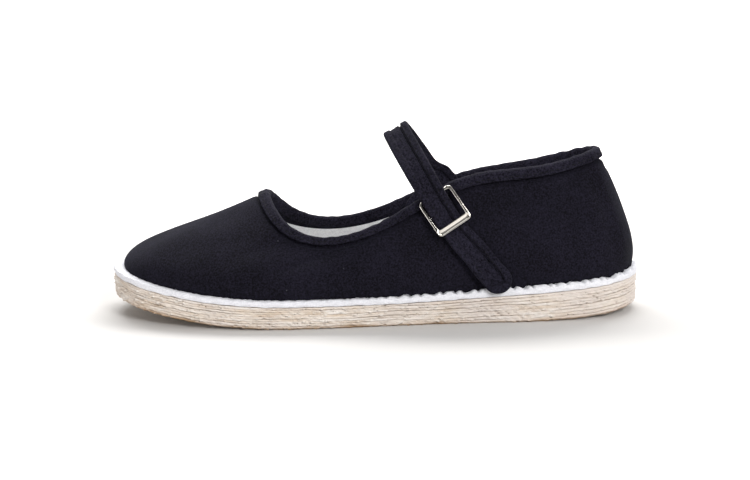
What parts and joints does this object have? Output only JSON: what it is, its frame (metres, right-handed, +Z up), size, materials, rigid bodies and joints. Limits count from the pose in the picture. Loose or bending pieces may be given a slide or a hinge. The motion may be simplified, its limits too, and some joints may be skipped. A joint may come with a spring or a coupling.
{
  "type": "strapped cloth shoe",
  "caption": "Left black cotton cloth shoe with a rounded low throat, a buckled instep strap, taped edges and a flat hand-layered cotton sole with a white bound top ply.",
  "frame": {"origin": "centre of the bounding box on the floor under the sole", "axes": "+X from toe to heel, +Y to the inner side of the foot, +Z up; the buckle faces -Y"},
  "size_m": [0.25, 0.0881, 0.0904],
  "materials": {
    "black_cotton": "matt",
    "black_cotton_tape": "matt",
    "white_cotton": "matt",
    "layered_cotton": "matt",
    "cotton_lining": "matt",
    "nickel_plate": "polished"
  },
  "bodies": {
    "root": {"sole": "layered_cotton", "top_ply": "white_cotton", "insole": "cotton_lining", "upper": "black_cotton", "topline_binding": "black_cotton_tape", "strap": "black_cotton", "buckle": "nickel_plate", "buckle_tab": "black_cotton_tape"}
  },
  "joints": []
}
